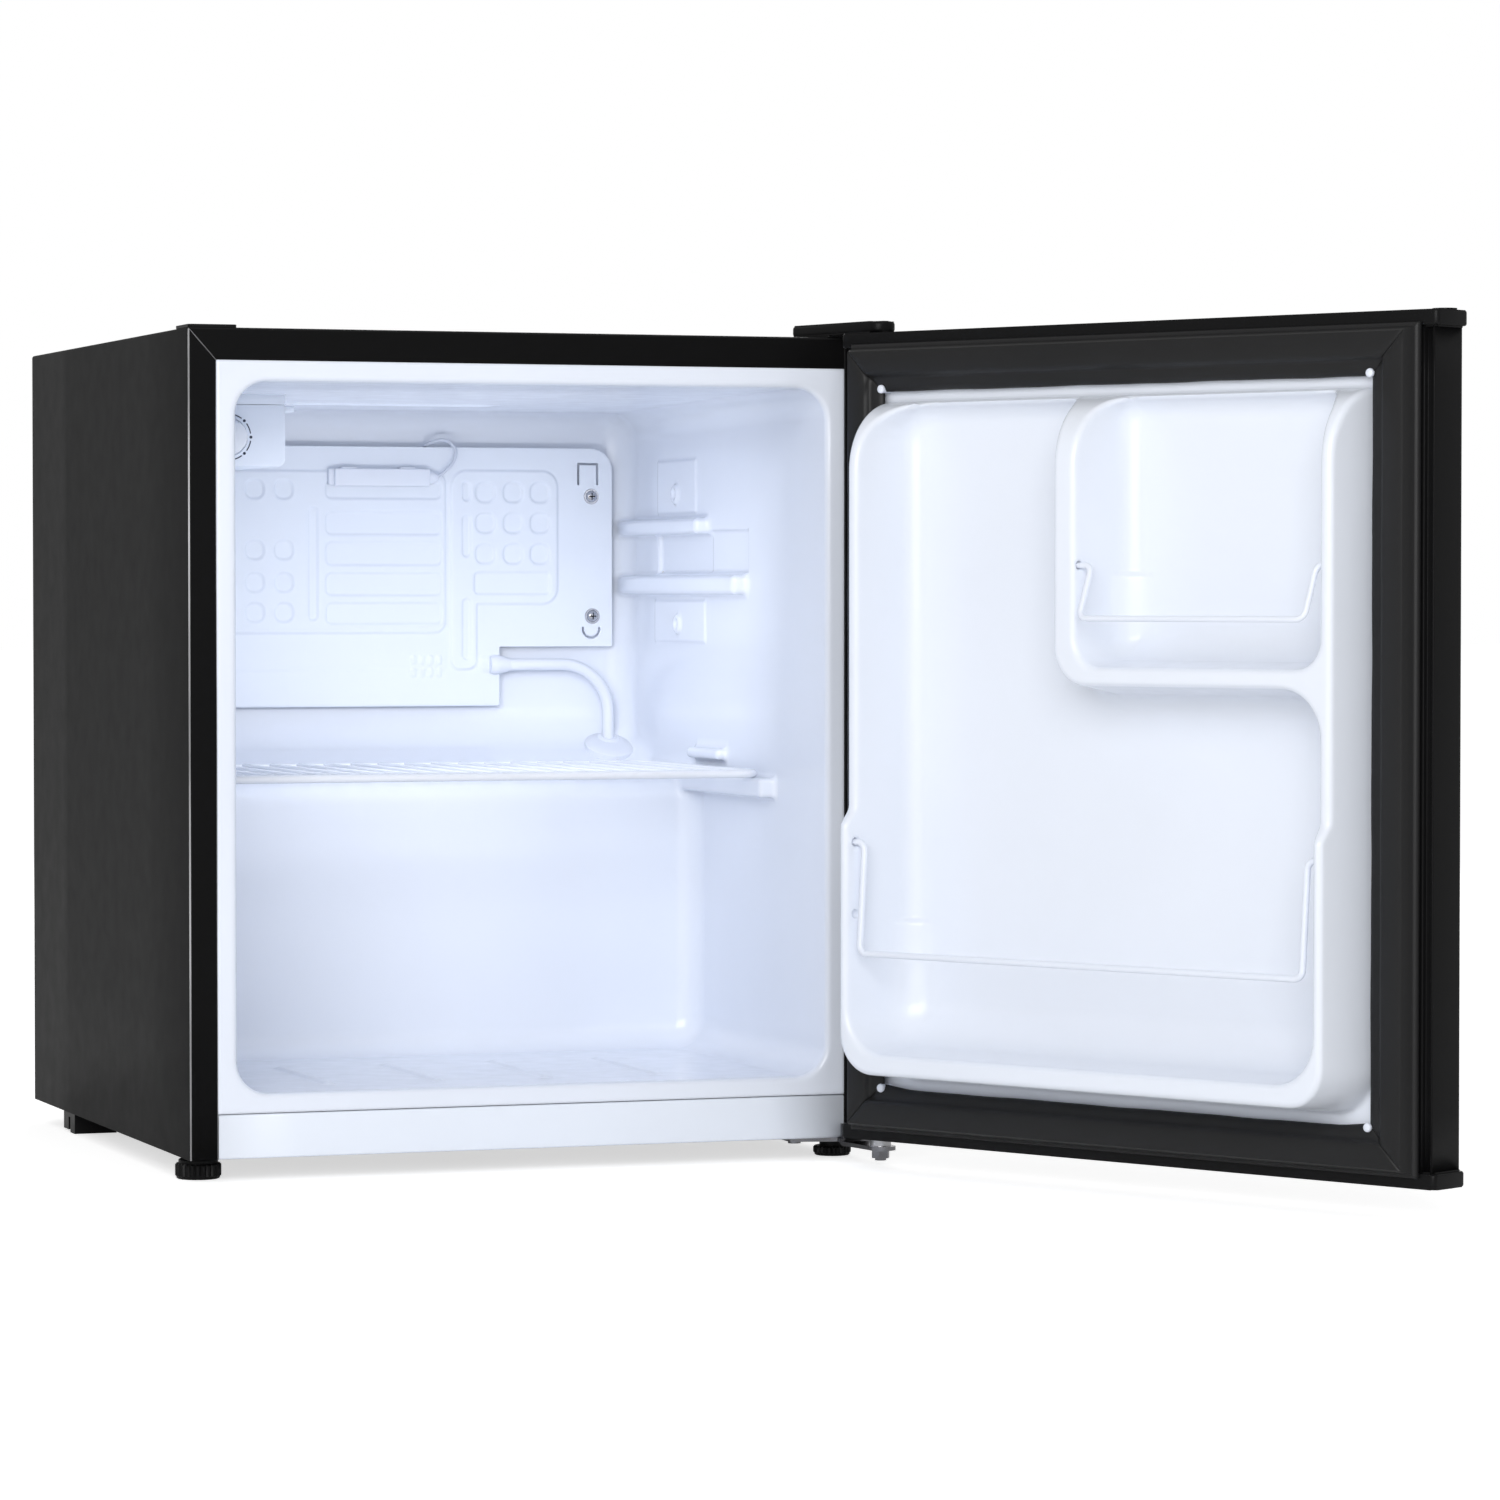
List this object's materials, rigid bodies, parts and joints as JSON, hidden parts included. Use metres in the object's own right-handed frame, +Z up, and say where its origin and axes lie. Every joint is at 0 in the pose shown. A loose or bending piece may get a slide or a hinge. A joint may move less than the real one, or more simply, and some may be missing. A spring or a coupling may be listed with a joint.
{
  "type": "mini fridge",
  "caption": "Compact single-door refrigerator with a swinging door, door pockets, a sliding wire shelf, a rear evaporator plate and a compressor hump.",
  "frame": {"origin": "centre of the cabinet's footprint (without the door), on the floor under the feet", "axes": "+X to the appliance's right seen from the front, where the door is hinged; -Y the front, where the door opening faces; +Z up. The door is stored standing open, as pictured."},
  "size_m": [0.6388, 0.8617, 0.5225],
  "materials": {
    "cabinet_paint": "satin",
    "door_paint": "satin",
    "black_steel": "satin",
    "zinc_steel": "satin",
    "bright_steel": "polished",
    "foam": "matte",
    "liner_plastic": "satin",
    "beam_paint": "satin",
    "black_plastic": "matte",
    "seal_rubber": "satin",
    "soft_white": "satin",
    "white_wire": "gloss",
    "evaporator_paint": "satin",
    "stat_plastic": "satin",
    "knob_plastic": "satin",
    "control_steel": "satin",
    "copper": "satin",
    "magnet": "matte"
  },
  "bodies": {
    "cabinet": {"cabinet_wrap": "cabinet_paint", "back_panel": "cabinet_paint", "compressor_base_plate": "black_steel", "top_hinge_bracket": "black_steel", "compressor": "black_steel", "condenser": "black_steel", "discharge_line": "black_steel", "machine_bay_panel": "zinc_steel", "bottom_panel": "zinc_steel", "foot_inserts": "zinc_steel", "hinge_backing_plates": "zinc_steel", "bottom_hinge_bracket": "zinc_steel", "bottom_hinge_nut": "zinc_steel", "bottom_hinge_screws": "zinc_steel", "compressor_studs": "zinc_steel", "top_hinge_pin": "bright_steel", "bottom_hinge_pin": "bright_steel", "bottom_hinge_collar": "bright_steel", "evaporator_screws": "bright_steel", "top_hinge_screws": "bright_steel", "cabinet_foam": "foam", "inner_liner": "liner_plastic", "sensor_holder": "liner_plastic", "evaporator_spacers": "liner_plastic", "front_beam": "beam_paint", "top_hinge_cover": "black_plastic", "spare_hinge_cap": "black_plastic", "rear_feet": "black_plastic", "start_relay": "black_plastic", "terminal_cover": "black_plastic", "cord_gland": "black_plastic", "compressor_grommets": "seal_rubber", "tube_grommet": "soft_white", "evaporator_tube": "soft_white", "drain_tube": "soft_white", "evaporator_plate": "evaporator_paint", "thermostat_housing": "stat_plastic", "evaporation_pan": "stat_plastic", "thermostat_control": "control_steel", "sensor_capillary": "control_steel", "suction_line": "copper", "filter_dryer": "copper"},
    "door": {"door_skin": "door_paint", "door_foam": "foam", "door_liner": "liner_plastic", "door_top_cap": "black_plastic", "door_bottom_cap": "black_plastic", "door_gasket": "seal_rubber", "gasket_magnets": "magnet", "liner_corner_plugs": "liner_plastic", "tall_retainer": "white_wire", "small_retainer": "white_wire", "hinge_bushes": "stat_plastic", "hinge_hole_plugs": "black_plastic"},
    "shelf": {"wire_shelf": "white_wire"},
    "thermostat_dial": {"thermostat_knob": "knob_plastic", "thermostat_shaft": "bright_steel"},
    "left_foot": {"front_left_foot": "black_plastic"},
    "right_foot": {"front_right_foot": "black_plastic"}
  },
  "joints": [
    {"name": "door_hinge", "type": "hinge", "parent": "cabinet", "child": "door", "pos_m": [0.2115, -0.2515, 0.266], "axis": [0, 0, 1], "range_deg": [-117.7, 12]},
    {"name": "shelf_slide", "type": "slide", "parent": "cabinet", "child": "shelf", "axis": [0, -1, 0], "range_m": [0, 0.055]},
    {"name": "dial_turn", "type": "hinge", "parent": "cabinet", "child": "thermostat_dial", "pos_m": [-0.149, -0.045, 0.4535], "axis": [0, -1, 0], "range_deg": [-135, 135]},
    {"name": "left_foot_turn", "type": "hinge", "parent": "cabinet", "child": "left_foot", "pos_m": [-0.2055, -0.182, 0.006], "axis": [0, 0, 1], "range_deg": [-360, 360]},
    {"name": "right_foot_turn", "type": "hinge", "parent": "cabinet", "child": "right_foot", "pos_m": [0.2055, -0.182, 0.006], "axis": [0, 0, 1], "range_deg": [-360, 360]}
  ]
}
